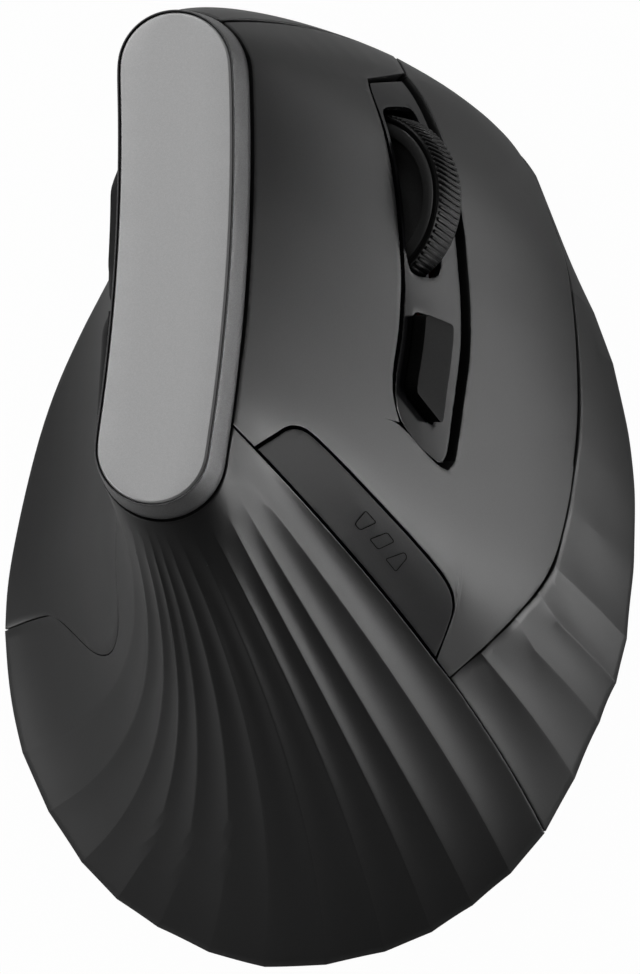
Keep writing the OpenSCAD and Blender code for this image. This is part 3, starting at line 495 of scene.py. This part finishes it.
# solids that stay as they are
keptNodes = {
    "footWhite": ["feet"],
    "frameGrey": ["wheel_yoke", "key_carrier", "device_post", "side_bracket"],
    "boardGreen": ["key_board", "device_board", "side_board", "main_board"],
    "switchRed": ["left_switch", "right_switch"],
    "switchGrey": ["wheel_switch", "speed_switch", "device_switch", "forward_switch", "back_switch",
                   "power_switch"],
    "encoderGreen": ["wheel_encoder"],
    "lensClear": ["sensor_lens"],
    "chipBlack": ["sensor_chip"],
    "batteryFoil": ["battery"],
    "plainSteel": ["usb_port", "base_screws"],
    "sliderGrey": ["power_slider"],
}
for finish, names in keptNodes.items():
    for n in names:
        cadNodes[n].data.materials.clear()
        cadNodes[n].data.materials.append(finishes[finish])
print("kept solids:", sum(len(n) for n in keptNodes.values()))

# stage, light and camera
studio = {
    "camera": (0, 0.00095, 1.3), "lens": 384.4, "sensor": 36, "clip": (0.05, 20),
    "lamps": {
        "rightBox": {"at": (0.95, -0.22, 0.03), "size": (0.3, 0.06), "watts": 3.6},
        "floorBox": {"at": (0.12, 0.0, 0.15), "aim": (0.12, 0.0, 0), "size": (0.08, 0.16),
                     "watts": 0.22, "spread": 40},  # pool of light on the floor at the right
        "leftBox": {"at": (-0.85, -0.33, 0.18), "size": (0.5, 0.28), "watts": 4.2},
        "frontLeftBox": {"at": (-0.7, 0.6, 0.3), "size": (0.4, 0.3), "watts": 4.4},
        "frontBox": {"at": (0, 0.95, 0.2), "size": (0.5, 0.3), "watts": 4.4},
        "topBox": {"at": (-0.3, 0.3, 1.2), "size": (0.8, 0.8), "watts": 2},
    },
    "aim": (0, 0, 0.03), "spread": 180, "world": 0.05, "glossyShare": 0.04,
    "floorHalf": 4, "floorGrey": 0.75, "floorRough": 0.9, "floorGlow": 0.98,
}


def backgroundShare(tree):  # what the camera, gloss and glass see of the white
    path = tree.nodes.new("ShaderNodeLightPath")
    gloss = tree.nodes.new("ShaderNodeMath")
    gloss.operation = "MULTIPLY"
    gloss.inputs[1].default_value = studio["glossyShare"]
    tree.links.new(path.outputs["Is Glossy Ray"], gloss.inputs[0])
    through = tree.nodes.new("ShaderNodeMath")
    through.operation = "MAXIMUM"
    tree.links.new(gloss.outputs[0], through.inputs[0])
    tree.links.new(path.outputs["Is Transmission Ray"], through.inputs[1])
    share = tree.nodes.new("ShaderNodeMath")
    share.operation = "MAXIMUM"
    tree.links.new(through.outputs[0], share.inputs[0])
    tree.links.new(path.outputs["Is Camera Ray"], share.inputs[1])
    return share


world = bpy.data.worlds.new("studioWorld")
scene.world = world
world.use_nodes = True
tree = world.node_tree
back = tree.nodes["Background"]
back.inputs["Color"].default_value = (1, 1, 1, 1)
share = backgroundShare(tree)
level = addRange(tree, share.outputs[0], studio["world"], 1.0, 0.0, 1.0)
tree.links.new(level.outputs["Result"], back.inputs["Strength"])

bm = bmesh.new()
bmesh.ops.create_grid(bm, x_segments=2, y_segments=2, size=studio["floorHalf"])
mesh = bpy.data.meshes.new("floor")
bm.to_mesh(mesh)
bm.free()
floor = bpy.data.objects.new("floor", mesh)
scene.collection.objects.link(floor)
mat, tree, shader, coords = startFinish("floorWhite")
shader.inputs["Base Color"].default_value = (*[studio["floorGrey"]] * 3, 1)
shader.inputs["Roughness"].default_value = studio["floorRough"]
glow = tree.nodes.new("ShaderNodeEmission")
glow.inputs["Strength"].default_value = 1.0
mix = tree.nodes.new("ShaderNodeMixShader")
share = backgroundShare(tree)
level = addRange(tree, share.outputs[0], 0.0, studio["floorGlow"], 0.0, 1.0)
tree.links.new(level.outputs["Result"], mix.inputs["Fac"])
tree.links.new(shader.outputs["BSDF"], mix.inputs[1])
tree.links.new(glow.outputs["Emission"], mix.inputs[2])
tree.links.new(mix.outputs["Shader"], tree.nodes["Material Output"].inputs["Surface"])
mesh.materials.append(mat)

for name, lamp in studio["lamps"].items():
    data = bpy.data.lights.new(name, "AREA")
    data.shape = "RECTANGLE"
    data.size, data.size_y = lamp["size"]
    data.energy = lamp["watts"]
    data.spread = math.radians(lamp.get("spread", studio["spread"]))
    box = bpy.data.objects.new(name, data)
    box.location = lamp["at"]
    beam = Vector(lamp.get("aim", studio["aim"])) - Vector(lamp["at"])
    box.rotation_euler = beam.to_track_quat("-Z", "Y").to_euler()
    scene.collection.objects.link(box)

cameraData = bpy.data.cameras.new("photoCamera")
cameraData.lens = studio["lens"]
cameraData.sensor_width = studio["sensor"]
cameraData.clip_start, cameraData.clip_end = studio["clip"]
camera = bpy.data.objects.new("photoCamera", cameraData)
camera.location = studio["camera"]
scene.collection.objects.link(camera)
scene.camera = camera
print("studio: camera and", len(studio["lamps"]), "lamps")
